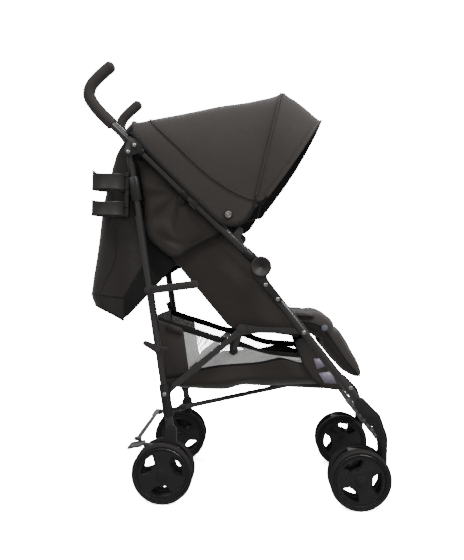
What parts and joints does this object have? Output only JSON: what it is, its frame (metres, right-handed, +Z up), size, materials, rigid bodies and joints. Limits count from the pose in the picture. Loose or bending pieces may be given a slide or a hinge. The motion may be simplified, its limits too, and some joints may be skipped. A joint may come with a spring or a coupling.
{
  "type": "baby stroller",
  "caption": "Umbrella-fold baby stroller with padded reclining seat, hood, leg rest, footrest, mesh basket, cup holder and twin wheels on every leg.",
  "frame": {"origin": "on the floor under the middle of the bounding box", "axes": "+X is the way it rolls forward, +Y the left side of the stroller, +Z up"},
  "size_m": [0.7584, 0.4952, 1.0645],
  "materials": {
    "frame_tube": "satin",
    "plastic_black": "satin",
    "foam": "matte",
    "tyre_and_rim": "matte",
    "plastic_grey": "satin",
    "canopy_cloth": "matte",
    "seat_cloth": "matte",
    "mesh_cloth": "matte",
    "red_plastic": "satin"
  },
  "bodies": {
    "frame_right": {"push_tube_right": "frame_tube", "grip_right": "foam", "upper_bracket_right": "plastic_black", "hub_socket_right": "plastic_black", "hood_rear": "canopy_cloth", "hood_button_right": "plastic_grey", "side_wing_right": "canopy_cloth", "rear_cover": "canopy_cloth"},
    "frame_left": {"push_tube_left": "frame_tube", "grip_left": "foam", "upper_bracket_left": "plastic_black", "hub_socket_left": "plastic_black", "hood_button_left": "plastic_grey", "side_wing_left": "canopy_cloth"},
    "rear_leg_right": {"rear_leg_right": "frame_tube", "rear_foot_right": "plastic_black", "cup_holder": "plastic_black", "basket": "mesh_cloth"},
    "rear_leg_left": {"rear_leg_left": "frame_tube", "rear_foot_left": "plastic_black"},
    "front_leg_right": {"front_leg_right": "frame_tube", "hub_right": "plastic_black", "front_bracket_right": "plastic_black", "footrest": "plastic_grey"},
    "front_leg_left": {"front_leg_left": "frame_tube", "hub_left": "plastic_black", "front_bracket_left": "plastic_black"},
    "seat_right": {"seat_rail_right": "frame_tube", "seat_pad": "seat_cloth", "buckle": "plastic_black"},
    "seat_left": {"seat_rail_left": "frame_tube"},
    "diagonal_right": {"diagonal_link_right": "frame_tube"},
    "diagonal_left": {"diagonal_link_left": "frame_tube"},
    "cross_right": {"cross_link_right": "frame_tube"},
    "cross_left": {"cross_link_left": "frame_tube"},
    "caster_right": {"caster_fork_right": "plastic_black"},
    "caster_left": {"caster_fork_left": "plastic_black"},
    "lock_right": {"caster_lock_right": "plastic_grey"},
    "lock_left": {"caster_lock_left": "plastic_grey"},
    "brake_right": {"brake_pedal_right": "plastic_grey", "brake_link": "plastic_grey"},
    "brake_left": {"brake_pedal_left": "plastic_grey"},
    "carry_handle": {"carry_handle": "plastic_black"},
    "fold_latch": {"fold_latch": "plastic_black"},
    "hood_front": {"hood_visor": "canopy_cloth", "hood_bow": "frame_tube"},
    "backrest": {"backrest": "seat_cloth", "harness": "seat_cloth"},
    "leg_rest": {"leg_rest": "seat_cloth"},
    "leg_rest_button": {"leg_rest_button": "plastic_grey"},
    "buckle_button": {"buckle_button": "red_plastic"},
    "wheel_fr_outer": {"wheel_fr_outer": "tyre_and_rim"},
    "wheel_fr_inner": {"wheel_fr_inner": "tyre_and_rim"},
    "wheel_fl_outer": {"wheel_fl_outer": "tyre_and_rim"},
    "wheel_fl_inner": {"wheel_fl_inner": "tyre_and_rim"},
    "wheel_rr_outer": {"wheel_rr_outer": "tyre_and_rim"},
    "wheel_rr_inner": {"wheel_rr_inner": "tyre_and_rim"},
    "wheel_rl_outer": {"wheel_rl_outer": "tyre_and_rim"},
    "wheel_rl_inner": {"wheel_rl_inner": "tyre_and_rim"}
  },
  "joints": [
    {"name": "fold", "type": "hinge", "parent": "frame_right", "child": "rear_leg_right", "pos_m": [-0.26775, 0, 0.84404], "axis": [0, -1, 0], "range_deg": [0, 28], "deforming": ["hood_rear", "side_wing_right", "side_wing_left", "rear_cover", "basket", "footrest", "seat_pad", "buckle", "brake_link"]},
    {"name": "fold_width", "type": "slide", "parent": "frame_right", "child": "frame_left", "axis": [0, -1, 0], "range_m": [0, 0.22001]},
    {"name": "fold_rear_left", "type": "hinge", "parent": "frame_left", "child": "rear_leg_left", "pos_m": [-0.26775, 0, 0.84404], "axis": [0, -1, 0], "range_deg": [0, 28.01]},
    {"name": "fold_front_right", "type": "hinge", "parent": "frame_right", "child": "front_leg_right", "pos_m": [0.05626, 0, 0.578], "axis": [0, -1, 0], "range_deg": [0, 10.01]},
    {"name": "fold_front_left", "type": "hinge", "parent": "frame_left", "child": "front_leg_left", "pos_m": [0.05626, 0, 0.578], "axis": [0, -1, 0], "range_deg": [0, 10.01]},
    {"name": "fold_rail_right", "type": "hinge", "parent": "front_leg_right", "child": "seat_right", "pos_m": [0.16424, 0, 0.42004], "axis": [0, -1, 0], "range_deg": [-106.2, 0]},
    {"name": "fold_rail_left", "type": "hinge", "parent": "front_leg_left", "child": "seat_left", "pos_m": [0.16424, 0, 0.42004], "axis": [0, -1, 0], "range_deg": [-106.2, 0]},
    {"name": "fold_diagonal_right", "type": "hinge", "parent": "rear_leg_right", "child": "diagonal_right", "pos_m": [-0.16776, 0, 0.26198], "axis": [0, -1, 0], "range_deg": [-6.78, 0]},
    {"name": "fold_diagonal_left", "type": "hinge", "parent": "rear_leg_left", "child": "diagonal_left", "pos_m": [-0.16776, 0, 0.26198], "axis": [0, -1, 0], "range_deg": [-6.78, 0]},
    {"name": "fold_cross_right", "type": "hinge", "parent": "rear_leg_right", "child": "cross_right", "pos_m": [-0.12876, -0.164, 0.22298], "axis": [0.5952, -0.7685, 0.2349], "range_deg": [0, 86.73]},
    {"name": "fold_cross_left", "type": "hinge", "parent": "rear_leg_left", "child": "cross_left", "pos_m": [-0.14676, 0.164, 0.24098], "axis": [-0.5952, -0.7685, -0.2349], "range_deg": [0, 86.73]},
    {"name": "swivel_right", "type": "hinge", "parent": "front_leg_right", "child": "caster_right", "pos_m": [0.35924, -0.2, 0.074], "axis": [0, 0, 1], "continuous": true},
    {"name": "lock_right", "type": "hinge", "parent": "caster_right", "child": "lock_right", "pos_m": [0.33324, -0.2, 0.121], "axis": [0, -1, 0], "range_deg": [-8, 0]},
    {"name": "swivel_left", "type": "hinge", "parent": "front_leg_left", "child": "caster_left", "pos_m": [0.35924, 0.2, 0.074], "axis": [0, 0, 1], "continuous": true},
    {"name": "lock_left", "type": "hinge", "parent": "caster_left", "child": "lock_left", "pos_m": [0.33324, 0.2, 0.121], "axis": [0, -1, 0], "range_deg": [-8, 0]},
    {"name": "spin_fr_outer", "type": "hinge", "parent": "caster_right", "child": "wheel_fr_outer", "pos_m": [0.30524, -0.23, 0.074], "axis": [0, 1, 0], "continuous": true},
    {"name": "spin_fr_inner", "type": "hinge", "parent": "caster_right", "child": "wheel_fr_inner", "pos_m": [0.30524, -0.17, 0.074], "axis": [0, 1, 0], "continuous": true},
    {"name": "spin_fl_outer", "type": "hinge", "parent": "caster_left", "child": "wheel_fl_outer", "pos_m": [0.30524, 0.23, 0.074], "axis": [0, 1, 0], "continuous": true},
    {"name": "spin_fl_inner", "type": "hinge", "parent": "caster_left", "child": "wheel_fl_inner", "pos_m": [0.30524, 0.17, 0.074], "axis": [0, 1, 0], "continuous": true},
    {"name": "spin_rr_outer", "type": "hinge", "parent": "rear_leg_right", "child": "wheel_rr_outer", "pos_m": [-0.16776, -0.23, 0.074], "axis": [0, 1, 0], "continuous": true},
    {"name": "spin_rr_inner", "type": "hinge", "parent": "rear_leg_right", "child": "wheel_rr_inner", "pos_m": [-0.16776, -0.17, 0.074], "axis": [0, 1, 0], "continuous": true},
    {"name": "spin_rl_outer", "type": "hinge", "parent": "rear_leg_left", "child": "wheel_rl_outer", "pos_m": [-0.16776, 0.23, 0.074], "axis": [0, 1, 0], "continuous": true},
    {"name": "spin_rl_inner", "type": "hinge", "parent": "rear_leg_left", "child": "wheel_rl_inner", "pos_m": [-0.16776, 0.17, 0.074], "axis": [0, 1, 0], "continuous": true},
    {"name": "brake", "type": "hinge", "parent": "rear_leg_right", "child": "brake_right", "pos_m": [-0.18576, -0.2, 0.128], "axis": [0, -1, 0], "range_deg": [0, 4]},
    {"name": "brake_left", "type": "hinge", "parent": "rear_leg_left", "child": "brake_left", "pos_m": [-0.18576, 0.2, 0.128], "axis": [0, -1, 0], "range_deg": [0, 4]},
    {"name": "carry_handle", "type": "hinge", "parent": "rear_leg_right", "child": "carry_handle", "pos_m": [-0.21083, -0.2, 0.5129], "axis": [0, -1, 0], "range_deg": [-80, 0]},
    {"name": "latch", "type": "hinge", "parent": "rear_leg_right", "child": "fold_latch", "pos_m": [-0.18644, -0.2, 0.37098], "axis": [0, -1, 0], "range_deg": [-35, 0], "stiffness_Nm_per_rad": 0.2},
    {"name": "hood", "type": "hinge", "parent": "frame_right", "child": "hood_front", "pos_m": [-0.02378, 0, 0.69794], "axis": [0, -1, 0], "range_deg": [0, 62], "deforming": ["hood_visor", "hood_bow"]},
    {"name": "recline", "type": "hinge", "parent": "frame_right", "child": "backrest", "pos_m": [0.00925, 0, 0.43204], "axis": [0, -1, 0], "range_deg": [-24, 0], "deforming": ["backrest", "harness"]},
    {"name": "leg_rest", "type": "hinge", "parent": "seat_right", "child": "leg_rest", "pos_m": [0.21824, 0, 0.42804], "axis": [0, -1, 0], "range_deg": [0, 48], "deforming": ["leg_rest"]},
    {"name": "leg_rest_release", "type": "slide", "parent": "seat_right", "child": "leg_rest_button", "axis": [0, 1, 0], "range_m": [0, 0.002], "stiffness_N_per_m": 200},
    {"name": "buckle_release", "type": "slide", "parent": "seat_right", "child": "buckle_button", "axis": [-1, 0, 0], "range_m": [0, 0.002], "stiffness_N_per_m": 200}
  ],
  "couplings": [
    {"joint": "fold_width", "follows": "fold", "m_per_rad": 0.45018},
    {"joint": "fold_rear_left", "follows": "fold", "ratio": 1},
    {"joint": "fold_front_right", "follows": "fold", "ratio": 0.35714},
    {"joint": "fold_front_left", "follows": "fold", "ratio": 0.35714},
    {"joint": "fold_rail_right", "follows": "fold", "ratio": -3.7925},
    {"joint": "fold_rail_left", "follows": "fold", "ratio": -3.7925},
    {"joint": "fold_diagonal_right", "follows": "fold", "ratio": -0.24163},
    {"joint": "fold_diagonal_left", "follows": "fold", "ratio": -0.24163},
    {"joint": "fold_cross_right", "follows": "fold", "ratio": 3.0971},
    {"joint": "fold_cross_left", "follows": "fold", "ratio": 3.0971},
    {"joint": "brake_left", "follows": "brake", "ratio": 1}
  ]
}
